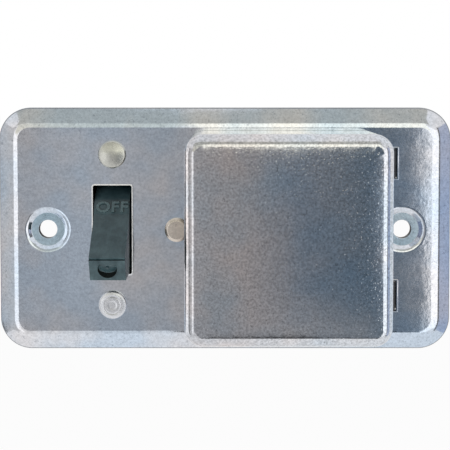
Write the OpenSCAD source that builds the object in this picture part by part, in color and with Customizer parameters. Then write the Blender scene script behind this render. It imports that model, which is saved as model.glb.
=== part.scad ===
// Fused switch cover unit for a handy box: a drawn steel cover plate that carries
// a toggle switch and, under a hinged lid, a screw holder with a plug fuse.
// Plan axes: x along the plate, y up the wall, h out of the wall from the box edge.

/* [Cover plate] */
// Length of the plate
plate_w = 106.4; // [104:0.1:120]
// Height of the plate
plate_d = 57.2; // [55:0.1:70]
// Thickness of the plate's sheet
plate_t = 1; // [0.8:0.05:1.2]
// Radius of the plate's corners
plate_corner_r = 7.5; // [6:0.1:10]
// Width of the sloped rim
rim_w = 4.9; // [4:0.1:5.2]
// Slope of the rim
rim_angle = 22; // [18:1:28]
// Front radius of the bend between the face and the rim
rim_bend_r = 4; // [2:0.1:6]
// Width of the flat that the rim rests on
rim_land = 1; // [0.6:0.1:1.5]

/* [Cover screws] */
// Distance between the two cover screws
screw_spacing = 83.34; // [82:0.01:86]
// Radius of the screw holes
screw_hole_r = 2.15; // [1.8:0.05:2.6]
// Radius of the flat floor of the dimple round a screw hole
dimple_floor_r = 3.95; // [3.4:0.05:4.3]
// Radius of the dimple at the plate's face
dimple_lip_r = 4.95; // [4.6:0.05:5.3]

/* [Lid] */
// Width of the lid
lid_w = 45.6; // [45:0.1:47]
// Height of the lid
lid_d = 46.6; // [45:0.1:50]
// Rise of the lid above the plate's face
lid_rise = 16.5; // [15:0.1:22]
// Thickness of the lid's sheet
lid_t = 0.8; // [0.6:0.05:1]
// Radius of the lid's corners
lid_corner_r = 4.2; // [3:0.1:6]
// Radius of the fillet round the lid's face
lid_fillet_r = 2.4; // [1.5:0.1:2.8]
// Gap between the lid's edge and the plate
lid_gap = 0.3; // [0.2:0.05:0.5]
// Height of the notch in the lid's edge over the left holder rivet
lid_notch = 1.2; // [1:0.1:2]
// Distance of the hinge axis from the lid's side wall
hinge_reach = 6.1; // [5.5:0.1:7]
// Inner radius of the ears' hooks about the hinge axis
hook_r = 3.4; // [3:0.1:3.6]
// Angle of the hooks behind the plate
hook_angle = 135; // [125:1:140]
// Width of a hinge ear
ear_w = 7; // [5:0.1:9]
// Distance between the centres of the two ears
ear_spacing = 31.2; // [26:0.1:34]
// Thickness of the friction springs under the ears
leaf_t = 0.4; // [0.3:0.05:0.6]
// Width of a friction spring
leaf_w = 5; // [4:0.1:6]

/* [Toggle switch] */
// Place of the switch along the plate
switch_x = -26.4; // [-28:0.1:-25.5]
// Height of the toggle slot
slot_d = 20.4; // [20.2:0.1:22]
// Room between the toggle and each side of the slot
slot_room = 0.5; // [0.3:0.05:0.8]
// Width of the toggle's drum
drum_w = 8; // [7:0.1:9]
// Radius of the toggle's drum
drum_r = 10.4; // [9.8:0.1:10.8]
// Depth of the toggle's pivot behind the plate's face
pivot_depth = 8.4; // [8.2:0.1:9]
// Length of the toggle from its pivot to its end
toggle_len = 19.1; // [17:0.1:21]
// Thickness of the toggle's end
toggle_end_d = 5.7; // [5:0.1:6]
// Width of the toggle's nose
toggle_end_w = 7.6; // [6.5:0.1:8]
// Slope of each flank of the nose
toggle_taper = 20.9; // [16:0.1:21]
// Tilt of the toggle at each end of its throw
toggle_tilt = 23; // [18:0.5:23]
// Radius of the pivot pin
pivot_pin_r = 1.2; // [0.9:0.05:1.5]
// Distance of each switch rivet from the middle of the slot
rivet_reach = 17.7; // [17:0.1:19]
// Radius of the switch rivets' heads
rivet_head_r = 3.1; // [2.6:0.1:3.4]
// Radius of the rivets' shanks
rivet_r = 1.6; // [1.2:0.05:1.8]
// Width of the switch case
case_w = 20; // [19:0.1:20.4]
// Height of the switch case
case_d = 28; // [27:0.1:29]
// Thickness of the switch case's walls
case_wall = 2; // [1.5:0.1:2.4]
// Thickness of the switch case's ears
case_ear_t = 3.5; // [2.5:0.1:5]
// Thickness of the fibre sheet between plate and switch
barrier_t = 0.8; // [0.4:0.05:1.2]

/* [Switch contacts] */
// Radius of the spring bore in the drum
spring_bore_r = 1.75; // [1.6:0.05:2]
// Depth of the spring's seat from the pivot
spring_seat = 4; // [3.4:0.1:4.6]
// Wire radius of the toggle spring
wire_r = 0.2; // [0.15:0.01:0.24]
// Turns of the toggle spring
spring_turns = 5; // [3:1:5]
// Radius of the plunger's round end
plunger_r = 1.3; // [1:0.05:1.4]
// Reach of the plunger's end from the toggle's pivot
plunger_reach = 13.6; // [13.2:0.1:14.4]
// Distance of the rocker's pivot behind the toggle's pivot
rocker_drop = 15.9; // [15.8:0.05:17]
// Forward slope of the rocker's arms
rocker_slope = 22; // [21:0.5:24]
// Tilt of the rocker at each end of its throw
rocker_tilt = 9; // [8:0.5:10]
// Length of a rocker arm
rocker_arm = 9; // [8.6:0.1:9.6]
// Width of the rocker
rocker_w = 6; // [4:0.1:7]
// Radius of the rocker's pin
rocker_pin_r = 0.8; // [0.6:0.05:0.9]
// Thickness of the switch's straps
strap_t = 1; // [0.8:0.05:1.4]
// Width of the straps
strap_w = 7; // [5.5:0.1:8]
// Distance of the terminal screws from the switch case
terminal_out = 4; // [3.6:0.1:6]
// Radius of the terminal screws' heads
terminal_head_r = 3.2; // [2.6:0.1:3.5]
// Height of the terminal screws' heads
terminal_head_d = 1.8; // [1.4:0.1:2.4]
// Place of the jumper's upright along the plate
jumper_x = -13.4; // [-14.4:0.1:-12]
// Thickness of the jumper
jumper_t = 0.8; // [0.6:0.05:1]

/* [Fuse holder] */
// Place of the fuse holder along the plate
fuse_x = 14.2; // [13.6:0.1:15]
// Radius of the plate's opening for the fuse
opening_r = 16.5; // [16.2:0.1:17.5]
// Outer radius of the holder
holder_r = 18; // [17.5:0.1:18.5]
// Depth of the holder's screw well below the plate's face
well_depth = 15.8; // [15.5:0.1:17]
// Depth of the chamber under the screw well
chamber_depth = 3; // [2.8:0.1:4]
// Thickness of the holder's floor
holder_floor = 3.5; // [2.5:0.1:5]
// Thickness of the holder's ears
holder_ear_t = 3.4; // [3.3:0.1:4]
// Distance of the left holder rivet from the holder's middle
left_rivet_reach = 25.5; // [25:0.1:26]
// Distance of the right holder rivets from the holder's middle, each way
right_rivet_reach = 15.2; // [15:0.1:16.5]
// Radius of the holder rivets' heads
holder_head_r = 2.85; // [2.4:0.05:3]
// Height of the holder rivets' heads
holder_head_d = 0.8; // [0.5:0.05:0.9]

/* [Plug fuse] */
// Pitch of the fuse's screw thread
thread_pitch = 3.63; // [3:0.01:3.7]
// Mean radius of the fuse's screw thread
thread_r = 12.66; // [12:0.01:12.8]
// Half height of the thread's waves
thread_wave = 0.42; // [0.3:0.01:0.5]
// Room between the fuse's thread and the holder's
thread_room = 0.28; // [0.2:0.01:0.35]
// Thickness of the two screw shells
shell_t = 0.4; // [0.3:0.05:0.5]
// Waves of thread along a screw shell
thread_turns = 3; // [2:1:3]
// Radius of the fuse's head
fuse_head_r = 14.6; // [14:0.1:15.5]
// Rise of the fuse above the plate's face
fuse_rise = 10.4; // [8:0.1:10.8]
// Radius of the fuse's window
window_r = 11; // [9:0.1:11.4]
// Radius of the contact at the fuse's foot
fuse_tip_r = 4.2; // [3:0.1:5]

/* [Hidden] */
$fn = 64;

// Clearances, and how far a cut runs past a face
running_gap = 0.05;
fit_gap = 0.1;
side_gap = 0.25;
touch_gap = 0.15;
cut = 1;

// Plate levels: the front face and the rear of the sheet above the box edge
rim_drop = rim_bend_r * (1 - cos(rim_angle)) + (rim_w - rim_bend_r * sin(rim_angle)) * tan(rim_angle);
face_h = rim_drop + plate_t / cos(rim_angle) - rim_land * tan(rim_angle);
back_h = face_h - plate_t;
dimple_slope = (dimple_lip_r - dimple_floor_r) / (face_h - plate_t);
dimple_wall = plate_t * sqrt(1 + dimple_slope * dimple_slope);
dimple_heel_r = dimple_floor_r - plate_t * dimple_slope + dimple_wall;
dimple_seat_r = dimple_heel_r + back_h * dimple_slope;
dimple_seam = 0.1;
dimple_cut_r = dimple_seat_r + dimple_seam;
dimple_edge_r = dimple_cut_r + 2 * dimple_seam;

// Lid and hinge
lid_base_h = face_h + lid_gap;
lid_top_h = face_h + lid_rise;
lid_right = fuse_x + lid_w / 2;
hinge_x = lid_right + hinge_reach;
hook_out_r = hook_r + lid_t;
hook_foot = 1;
hook_foot_angle = 9;
hook_lead_angle = 15;
ear_slot_front = 0.3;
ear_slot_back = 0.6;
notch_room = 1;
notch_w = 2 * (holder_head_r + notch_room);

// Switch levels
slot_w = drum_w + 2 * slot_room;
slot_corner_r = 0.8;
case_h = back_h - barrier_t;
pivot_h = face_h - pivot_depth;
rocker_h = pivot_h - rocker_drop;
strap_drop = 2.1;
strap_h = rocker_h - strap_drop;
case_floor_h = strap_h - strap_t;
case_back_h = case_floor_h - case_wall;
case_ear_side = 2.5;
case_ear_w = 2 * (rivet_head_r + case_ear_side);
case_ear_margin = 0.7;
case_ear_reach = rivet_reach + rivet_head_r + case_ear_margin;
barrier_inset = 0.4;
barrier_margin = 0.5;
rivet_tail_d = 1;
tail_flare = 1;
boss_r = 3;
pin_inset = 0.5;
nose_half = toggle_end_d / 2;
nose_reach = toggle_len * sin(toggle_taper) + nose_half * cos(toggle_taper);
end_dimple_r = 2.1;
end_dimple_d = 0.35;

// Contacts: the rocker's contact at the closed end of the throw
arm_t = 0.8;
hub_r = 1.5;
arm_front = hub_r * cos(rocker_slope);
contact_inset = 1.8;
contact_u = rocker_arm - contact_inset;
contact_r = 1.4;
contact_t = 0.6;
post_r = 1.6;
closed_slope = rocker_slope - rocker_tilt;
contact_back = arm_front - arm_t - contact_t;
post_offset = contact_back - touch_gap - post_r;
post_y = -(contact_u * cos(closed_slope) - post_offset * sin(closed_slope));
post_h = rocker_h + contact_u * sin(closed_slope) + post_offset * cos(closed_slope);
post_margin = 0.6;
plunger_inset = 1.6;
plunger_seat = drum_r - plunger_inset;
plunger_neck = 0.4;
cheek_t = 1;
hub_margin = 1;
terminal_r = 1.5;
terminal_slot = 0.8;
terminal_tail = 2;
terminal_reach = case_d / 2 + terminal_out;
terminal_end = terminal_reach + strap_w / 2;
jumper_low_h = case_floor_h - jumper_t;

// Fuse holder levels
ledge_h = face_h - well_depth;
floor_h = ledge_h - chamber_depth;
holder_back_h = floor_h - holder_floor;
collar_r = opening_r - side_gap;
female_r = thread_r + thread_room;
well_r = female_r + thread_wave + shell_t + fit_gap;
ledge_w = 2.4;
chamber_r = well_r - ledge_w;
ear_back_h = back_h - holder_ear_t;
ear_margin = 0.75;
ear_r = holder_head_r + ear_margin;
ring_t = 0.8;
thread_len = thread_pitch * thread_turns;
contact_strip_t = 0.8;
thread_base_h = ledge_h + ring_t;
button_r = 3.2;
button_room = 1;
button_rise = chamber_depth - contact_strip_t - button_room;
strip_margin = 1;
holder_screw_room = 0.6;
holder_screw_y = -(holder_r + terminal_head_r + holder_screw_room);
foot_room = 1;
foot_end = fuse_x - holder_r - foot_room;
jumper_rivet_x = (jumper_x + jumper_t + fuse_x - holder_r) / 2;

// Fuse levels
fuse_seat_h = face_h + side_gap;
fuse_top_h = face_h + fuse_rise;
rim_band = 3.4;
rim_t = 0.5;
rim_lip = 1;
window_t = 1;
window_seat_h = fuse_top_h - rim_t - window_t;
cup_depth = 3;
plug_r = thread_r - thread_wave - shell_t - fit_gap;
tip_h = floor_h + contact_strip_t + button_rise + touch_gap;
insulator_t = 1.6;
insulator_inset = 0.6;
tip_step = 1;

// Lay a plan on the wall: plan y becomes up, plan h points out of the wall
module on_wall() {
  rotate([90, 0, 0])
    children();
}

// Extrude a section drawn in y and h along the plate
module along_x(w) {
  rotate([90, 0, 90])
    linear_extrude(w, center = true)
      children();
}

// Extrude a section drawn in x and h up the wall
module along_y(d) {
  rotate([90, 0, 0])
    linear_extrude(d, center = true)
      children();
}

// Plain round post between two levels
module post(r, low, high) {
  translate([0, 0, low])
    cylinder(r = r, h = high - low);
}

// Flat block centred in x and y between two levels
module slab(w, d, low, high) {
  translate([-w / 2, -d / 2, low])
    cube([w, d, high - low]);
}

module rounded_rect(w, d, r) {
  square([w - 2 * r, d], center = true);
  square([w, d - 2 * r], center = true);
  for (sx = [-1, 1], sy = [-1, 1])
    translate([sx * (w / 2 - r), sy * (d / 2 - r)])
      circle(r);
}

// Pie slice from one angle to another, larger than the rings that it trims
module slice(from, to, r) {
  steps = 6;
  polygon(concat([[0, 0]], [for (i = [0 : steps])
    let (a = from + (to - from) * i / steps)
    2 * r * [cos(a), sin(a)]]));
}

module ring_slice(r_in, r_out, from, to) {
  intersection() {
    difference() {
      circle(r_out);
      circle(r_in);
    }
    slice(from, to, r_out);
  }
}

// Drawn sheet: a flat face with the child section swept round its four sides
module drawn_pan(w, d, r, top, t) {
  slab(w - 2 * r, d - 2 * r, top - t, top);
  for (i = [0 : 3]) {
    across = i % 2 == 0 ? w : d;
    along = i % 2 == 0 ? d : w;
    rotate([0, 0, 90 * i]) {
      translate([across / 2 - r, 0, 0])
        along_y(along - 2 * r)
          children();
      translate([across / 2 - r, along / 2 - r, 0])
        rotate_extrude(angle = 90)
          children();
    }
  }
}

// Region under a surface that bends from flat down to the rim's slope
module under_bend(top, r) {
  bend = plate_corner_r - rim_w;
  tangent = [bend + r * sin(rim_angle), top - r * (1 - cos(rim_angle))];
  outside = tangent + 2 * rim_w * [cos(rim_angle), -sin(rim_angle)];
  polygon([[0, -top], [0, top], [bend, top], tangent, outside, [outside[0], -2 * rim_w]]);
  translate([bend, top - r])
    circle(r);
}

module plate_section() {
  intersection() {
    difference() {
      under_bend(face_h, rim_bend_r);
      under_bend(back_h, rim_bend_r - plate_t);
    }
    square([plate_corner_r, face_h]);
  }
}

module lid_section() {
  translate([0, lid_top_h - lid_t])
    square([lid_corner_r - lid_fillet_r, lid_t]);
  translate([lid_corner_r - lid_fillet_r, lid_top_h - lid_fillet_r])
    ring_slice(lid_fillet_r - lid_t, lid_fillet_r, 0, 90);
  translate([lid_corner_r - lid_t, lid_base_h])
    square([lid_t, lid_top_h - lid_fillet_r - lid_base_h]);
}

// Places of the paired pieces
module at_screws() {
  for (s = [-1, 1])
    translate([s * screw_spacing / 2, 0, 0])
      children();
}

module at_ears() {
  for (s = [-1, 1])
    translate([0, s * ear_spacing / 2, 0])
      children();
}

module at_switch_rivets() {
  for (s = [-1, 1])
    translate([switch_x, s * rivet_reach, 0])
      children();
}

module at_holder_rivets() {
  for (p = [[-left_rivet_reach, 0], [right_rivet_reach, right_rivet_reach],
            [right_rivet_reach, -right_rivet_reach]])
    translate([fuse_x + p[0], p[1], 0])
      children();
}

module at_switch() {
  translate([switch_x, 0, 0])
    children();
}

module at_fuse() {
  translate([fuse_x, 0, 0])
    children();
}

// Screw hole in a pressed dimple whose floor seats on the box's ear
module dimple() {
  rotate_extrude()
    polygon([
      [screw_hole_r, 0], [dimple_heel_r, 0], [dimple_seat_r, back_h], [dimple_edge_r, back_h],
      [dimple_edge_r, face_h], [dimple_lip_r, face_h], [dimple_floor_r, plate_t], [screw_hole_r, plate_t]
    ]);
}

module cover_plate() {
  color("#aab0b8")
    on_wall() {
      difference() {
        drawn_pan(plate_w, plate_d, plate_corner_r, face_h, plate_t)
          plate_section();
        at_screws()
          post(dimple_cut_r, -cut, face_h + cut);
        at_switch()
          translate([0, 0, -cut])
            linear_extrude(face_h + 2 * cut)
              rounded_rect(slot_w, slot_d, slot_corner_r);
        at_switch_rivets()
          post(rivet_r + running_gap, -cut, face_h + cut);
        at_fuse()
          post(opening_r, -cut, face_h + cut);
        at_holder_rivets()
          post(rivet_r + running_gap, -cut, face_h + cut);
        at_ears()
          ear_slot();
      }
      at_screws()
        dimple();
    }
}

// Slot that a hinge ear's hook swings through
module ear_slot() {
  front = hinge_x - hook_out_r - ear_slot_front;
  back = hinge_x - hook_r + ear_slot_back;
  translate([(front + back) / 2, 0, 0])
    slab(back - front, ear_w + 2 * side_gap, -cut, face_h + cut);
}

// Leaf springs clamped under the right-hand holder rivets, pressing on the hooks
module lid_springs() {
  inner_edge = right_rivet_reach - leaf_w / 2;
  start = fuse_x + sqrt(holder_r * holder_r - inner_edge * inner_edge) + fit_gap;
  end = hinge_x + hook_r / 2;
  color("#c8b070")
    on_wall()
      for (s = [-1, 1])
        difference() {
          translate([(start + end) / 2, s * right_rivet_reach, 0])
            slab(end - start, leaf_w, ear_back_h - leaf_t, ear_back_h);
          at_holder_rivets()
            post(rivet_r + running_gap, ear_back_h - leaf_t - cut, ear_back_h + cut);
        }
}

// Hinge ear: a flange from the lid's wall that hooks round the hinge axis
module hinge_ear() {
  along_y(ear_w) {
    translate([lid_right - lid_t, lid_base_h])
      square([hinge_reach + lid_t - hook_r, lid_t]);
    translate([hinge_x, face_h]) {
      ring_slice(hook_r, hook_out_r, 180 - hook_lead_angle, 180 + hook_angle);
      ring_slice(hook_r - hook_foot, hook_r, 180 + hook_angle - hook_foot_angle, 180 + hook_angle);
    }
  }
}

module fuse_lid() {
  color("#9aa0a8")
    on_wall() {
      difference() {
        at_fuse()
          drawn_pan(lid_w, lid_d, lid_corner_r, lid_top_h, lid_t)
            lid_section();
        translate([fuse_x - lid_w / 2, 0, 0])
          slab(4 * lid_t, notch_w, lid_base_h - cut, lid_base_h + lid_notch);
      }
      at_ears()
        hinge_ear();
    }
}

module switch_barrier() {
  w = case_w - 2 * barrier_inset;
  d = 2 * (case_ear_reach + barrier_margin);
  color("#6b5a48")
    on_wall()
      difference() {
        at_switch()
          difference() {
            slab(w, d, case_h, back_h);
            slab(slot_w + 2 * barrier_margin, slot_d + 2 * barrier_margin, case_h - cut, back_h + cut);
          }
        at_switch_rivets()
          post(rivet_r + running_gap, case_h - cut, back_h + cut);
      }
}

module switch_case() {
  inner_w = case_w - 2 * case_wall;
  inner_d = case_d - 2 * case_wall;
  boss_in = drum_w / 2 + side_gap;
  color("#2b2a2c")
    on_wall()
      difference() {
        at_switch() {
          difference() {
            union() {
              slab(case_w, case_d, case_back_h, case_h);
              slab(case_ear_w, 2 * case_ear_reach, case_h - case_ear_t, case_h);
            }
            slab(inner_w, inner_d, case_floor_h, case_h + cut);
            slab(strap_w + 2 * fit_gap, case_d + 2 * cut, case_floor_h, strap_h + fit_gap);
          }
          for (s = [-1, 1])
            translate([s * (boss_in + inner_w / 2) / 2, 0, pivot_h])
              along_x(inner_w / 2 - boss_in)
                circle(boss_r);
        }
        at_switch()
          translate([0, 0, pivot_h])
            along_x(case_w + 2 * cut)
              circle(pivot_pin_r + fit_gap / 2);
        at_switch_rivets()
          post(rivet_r + running_gap, case_h - case_ear_t - cut, case_h + cut);
      }
}

// Rivet shank with its clinched tail behind a stack of pieces
module rivet_shank(head_h, back) {
  post(rivet_r, back, head_h);
  post(rivet_r + tail_flare, back - rivet_tail_d, back);
}

module upper_rivet() {
  dome = 1.4;
  ball_r = (rivet_head_r * rivet_head_r + dome * dome) / (2 * dome);
  color("#b4b8bc")
    on_wall()
      translate([switch_x, rivet_reach, 0]) {
        rivet_shank(face_h, case_h - case_ear_t);
        intersection() {
          translate([0, 0, face_h + dome - ball_r])
            sphere(ball_r);
          post(rivet_head_r + cut, face_h, face_h + dome + cut);
        }
      }
}

module lower_rivet() {
  head = 0.9;
  groove_r = rivet_head_r - 0.9;
  groove_w = 0.3;
  groove_d = 0.2;
  color("#b4b8bc")
    on_wall()
      translate([switch_x, -rivet_reach, 0]) {
        rivet_shank(face_h, case_h - case_ear_t);
        difference() {
          post(rivet_head_r, face_h, face_h + head);
          difference() {
            post(groove_r, face_h + head - groove_d, face_h + head + cut);
            post(groove_r - groove_w, face_h, face_h + head + cut);
          }
          post(groove_r / 2, face_h + head - groove_d, face_h + head + cut);
        }
      }
}

// Toggle on its pivot, tilted to the OFF end of its throw
module toggle_frame() {
  translate([switch_x, 0, pivot_h])
    rotate([toggle_tilt, 0, 0])
      children();
}

module toggle_lever() {
  foot_a = nose_reach * sin(toggle_taper);
  foot_half = nose_reach * cos(toggle_taper);
  color("#2e3434")
    on_wall()
      toggle_frame()
        difference() {
          union() {
            along_x(drum_w)
              circle(drum_r);
            along_x(toggle_end_w)
              polygon([[-foot_half, foot_a], [foot_half, foot_a],
                       [nose_half, toggle_len], [-nose_half, toggle_len]]);
          }
          along_x(drum_w + 2 * cut)
            circle(pivot_pin_r + running_gap);
          post(spring_bore_r, -drum_r - cut, -spring_seat);
          post(end_dimple_r, toggle_len - end_dimple_d, toggle_len + cut);
        }
}

module pivot_pin() {
  color("#c0c4c8")
    on_wall()
      translate([switch_x, 0, pivot_h])
        along_x(case_w - 2 * pin_inset)
          circle(pivot_pin_r);
}

// Coil spring between the seat of the drum's bore and the plunger
module toggle_spring() {
  sides = 6;
  rings = 12;
  coil_r = spring_bore_r - wire_r - fit_gap;
  top = -spring_seat - wire_r - running_gap;
  bottom = -plunger_seat + wire_r + running_gap;
  count = spring_turns * rings;
  points = [for (i = [0 : count], k = [0 : sides - 1])
    let (a = 360 * i / rings, b = 360 * k / sides, r = coil_r + wire_r * cos(b))
    [r * cos(a), r * sin(a), bottom + (top - bottom) * i / count + wire_r * sin(b)]];
  walls = [for (i = [0 : count - 1], k = [0 : sides - 1], half = [0, 1])
    let (n = (k + 1) % sides, a = i * sides + k, b = i * sides + n, c = a + sides, d = b + sides)
    half == 0 ? [a, b, d] : [a, d, c]];
  first = [for (k = [1 : sides - 2]) [0, k + 1, k]];
  last = [for (k = [1 : sides - 2]) [count * sides, count * sides + k, count * sides + k + 1]];
  color("#b8bcc0")
    on_wall()
      toggle_frame()
        polyhedron(points, concat(walls, first, last));
}

module spring_plunger() {
  centre = plunger_reach - plunger_r;
  shoulder = drum_r + plunger_neck;
  color("#b08d57")
    on_wall()
      toggle_frame() {
        post(spring_bore_r - running_gap, -shoulder, -plunger_seat);
        post(plunger_r, -centre, -shoulder);
        translate([0, 0, -centre])
          sphere(plunger_r);
      }
}

// Two arms bent forward from a hub, tilted to the open end of its throw
module contact_rocker() {
  color("#c89a4a")
    on_wall()
      translate([switch_x, 0, rocker_h])
        rotate([-rocker_tilt, 0, 0]) {
          along_x(rocker_w)
            difference() {
              union() {
                circle(hub_r);
                for (m = [0, 1])
                  mirror([m, 0])
                    rotate(rocker_slope)
                      translate([0, arm_front - arm_t])
                        square([rocker_arm, arm_t]);
              }
              circle(rocker_pin_r + running_gap);
            }
          mirror([0, 1, 0])
            rotate([rocker_slope, 0, 0])
              translate([0, contact_u, 0])
                post(contact_r, contact_back, arm_front - arm_t);
        }
}

module rocker_pin() {
  color("#c0c4c8")
    on_wall()
      translate([switch_x, 0, rocker_h])
        along_x(rocker_w + 2 * (fit_gap + cheek_t + pin_inset))
          circle(rocker_pin_r);
}

module line_terminal() {
  strap_in = post_y + post_r + post_margin;
  strap_len = terminal_end + strap_in;
  color("#c89a4a")
    on_wall()
      at_switch() {
        difference() {
          translate([0, (strap_in - terminal_end) / 2, 0])
            slab(strap_w, strap_len, case_floor_h, strap_h);
          translate([0, -terminal_reach, 0])
            post(terminal_r + running_gap, case_floor_h - cut, strap_h + cut);
        }
        translate([0, post_y, 0]) {
          post(post_r, strap_h, post_h);
          translate([0, 0, post_h])
            sphere(post_r);
        }
      }
}

module load_terminal() {
  strap_in = -hub_r - hub_margin;
  cheek_x = rocker_w / 2 + fit_gap + cheek_t / 2;
  color("#c89a4a")
    on_wall()
      at_switch() {
        difference() {
          translate([0, (strap_in + terminal_end) / 2, 0])
            slab(strap_w, terminal_end - strap_in, case_floor_h, strap_h);
          translate([0, terminal_reach, 0])
            post(terminal_r + running_gap, case_floor_h - cut, strap_h + cut);
        }
        for (s = [-1, 1])
          translate([s * cheek_x, 0, 0])
            along_x(cheek_t)
              difference() {
                union() {
                  translate([0, rocker_h])
                    circle(hub_r);
                  translate([-hub_r, case_floor_h])
                    square([2 * hub_r, rocker_h - case_floor_h]);
                }
                translate([0, rocker_h])
                  circle(rocker_pin_r + running_gap);
              }
      }
}

// Slotted screw with its head to the rear
module terminal_screw(seat, tip) {
  post(terminal_r, seat, tip);
  difference() {
    post(terminal_head_r, seat - terminal_head_d, seat);
    slab(3 * terminal_head_r, terminal_slot, seat - 2 * terminal_head_d, seat - terminal_head_d / 2);
  }
}

module terminal_screws() {
  color("#c8a860")
    on_wall() {
      translate([switch_x, -terminal_reach, 0])
        terminal_screw(case_floor_h, strap_h + terminal_tail);
      translate([switch_x, terminal_reach, 0])
        terminal_screw(jumper_low_h, strap_h + terminal_tail);
      translate([fuse_x, holder_screw_y, 0])
        terminal_screw(ledge_h, ledge_h + ring_t + terminal_tail);
    }
}

// Bent strap from the switch's load terminal to the fuse holder's centre contact
module jumper_strap() {
  low_end = switch_x - strap_w / 2;
  half = strap_w / 2;
  right = jumper_x + jumper_t;
  color("#c89a4a")
    on_wall()
      difference() {
        union() {
          translate([jumper_x + jumper_t / 2, 0, 0])
            along_x(jumper_t) {
              translate([-half, jumper_low_h])
                square([strap_w, floor_h - jumper_low_h]);
              translate([-half, jumper_low_h])
                square([terminal_end + half, strap_w]);
            }
          translate([jumper_x, -half, floor_h - jumper_t])
            cube([foot_end - jumper_x, strap_w, jumper_t]);
          translate([low_end, terminal_reach - half, jumper_low_h])
            cube([right - low_end, strap_w, jumper_t]);
        }
        translate([switch_x, terminal_reach, 0])
          post(terminal_r + running_gap, jumper_low_h - cut, case_floor_h + cut);
        translate([jumper_rivet_x, 0, 0])
          post(rivet_r + running_gap, floor_h - jumper_t - cut, floor_h + cut);
      }
}

module jumper_rivet() {
  top = floor_h + contact_strip_t;
  color("#c8a860")
    on_wall()
      translate([jumper_rivet_x, 0, 0]) {
        rivet_shank(top, floor_h - jumper_t);
        post(rivet_r + tail_flare, top, top + rivet_tail_d);
      }
}

module holder_body() {
  ear_low = ear_back_h;
  ear_angle = [180, 45, -45];
  ear_len = [left_rivet_reach, right_rivet_reach * sqrt(2), right_rivet_reach * sqrt(2)];
  color("#2c2b2d")
    on_wall()
      difference() {
        at_fuse()
          difference() {
            union() {
              post(holder_r, holder_back_h, back_h);
              post(collar_r, back_h, face_h);
              for (i = [0 : 2])
                rotate([0, 0, ear_angle[i]]) {
                  translate([ear_len[i] / 2, 0, 0])
                    slab(ear_len[i], 2 * ear_r, ear_low, back_h);
                  translate([ear_len[i], 0, 0])
                    post(ear_r, ear_low, back_h);
                }
            }
            post(well_r, ledge_h, face_h + cut);
            post(chamber_r, floor_h, ledge_h + cut);
            translate([-holder_r, 0, 0])
              slab(2 * holder_r, strap_w + 2 * fit_gap, floor_h, floor_h + contact_strip_t + fit_gap);
            translate([0, -holder_r, 0])
              slab(strap_w + 2 * fit_gap, 2 * holder_r, ledge_h, ledge_h + ring_t + fit_gap);
            translate([-chamber_r / 2, 0, 0])
              post(rivet_r + running_gap, holder_back_h - cut, floor_h + cut);
          }
        at_holder_rivets()
          post(rivet_r + running_gap, ear_low - cut, face_h + cut);
      }
}

// Three rivets with flat heads and rounded edges
module holder_rivets() {
  edge = holder_head_d * 0.6;
  color("#b8a890")
    on_wall()
      for (i = [0 : 2]) {
        at = [[-left_rivet_reach, 0], [right_rivet_reach, right_rivet_reach],
              [right_rivet_reach, -right_rivet_reach]][i];
        back = i == 0 ? ear_back_h : ear_back_h - leaf_t;
        translate([fuse_x + at[0], at[1], 0]) {
          rivet_shank(face_h, back);
          rotate_extrude() {
            translate([0, face_h])
              square([holder_head_r - edge, holder_head_d]);
            translate([0, face_h])
              square([holder_head_r, holder_head_d - edge]);
            translate([holder_head_r - edge, face_h + holder_head_d - edge])
              intersection() {
                circle(edge);
                square(edge);
              }
          }
        }
      }
}

// Wavy screw shell: a band of sheet whose inner radius follows the thread
module wavy_band(mean_r, low) {
  steps = 8 * thread_turns;
  inner = [for (i = [0 : steps])
    [mean_r - thread_wave * cos(360 * thread_turns * i / steps), low + thread_len * i / steps]];
  outer = [for (i = [0 : steps]) inner[steps - i] + [shell_t, 0]];
  rotate_extrude()
    polygon(concat(inner, outer));
}

module screw_shell() {
  color("#c8a860")
    on_wall()
      at_fuse()
        wavy_band(female_r, thread_base_h);
}

// Ring under the screw shell with a tail out to its terminal screw
module shell_terminal() {
  tail_end = -holder_screw_y + strap_w / 2;
  ring_in = chamber_r + fit_gap;
  color("#c89a4a")
    on_wall()
      at_fuse()
        difference() {
          union() {
            post(well_r - fit_gap, ledge_h, ledge_h + ring_t);
            translate([0, -tail_end / 2, 0])
              slab(strap_w, tail_end, ledge_h, ledge_h + ring_t);
          }
          post(ring_in, ledge_h - cut, ledge_h + ring_t + cut);
          translate([0, holder_screw_y, 0])
            post(terminal_r + running_gap, ledge_h - cut, ledge_h + ring_t + cut);
        }
}

// Strip on the holder's floor with a raised contact under the fuse's foot
module centre_contact() {
  top = floor_h + contact_strip_t;
  strip_end = jumper_rivet_x - rivet_r - strip_margin;
  strip_far = fuse_x + button_r + strip_margin;
  color("#c89a4a")
    on_wall() {
      difference() {
        translate([strip_end, -strap_w / 2, floor_h])
          cube([strip_far - strip_end, strap_w, contact_strip_t]);
        translate([jumper_rivet_x, 0, 0])
          post(rivet_r + running_gap, floor_h - cut, top + cut);
        translate([fuse_x - chamber_r / 2, 0, 0])
          post(rivet_r + running_gap, floor_h - cut, top + cut);
      }
      at_fuse()
        post(button_r, top, top + button_rise);
    }
}

module centre_rivet() {
  head = 0.9;
  top = floor_h + contact_strip_t;
  color("#c8a860")
    on_wall()
      translate([fuse_x - chamber_r / 2, 0, 0]) {
        rivet_shank(top, holder_back_h);
        post(rivet_r + tail_flare / 2, top, top + head);
      }
}

module fuse_shell() {
  color("#c8a860")
    on_wall()
      at_fuse()
        wavy_band(thread_r - shell_t, thread_base_h);
}

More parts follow.
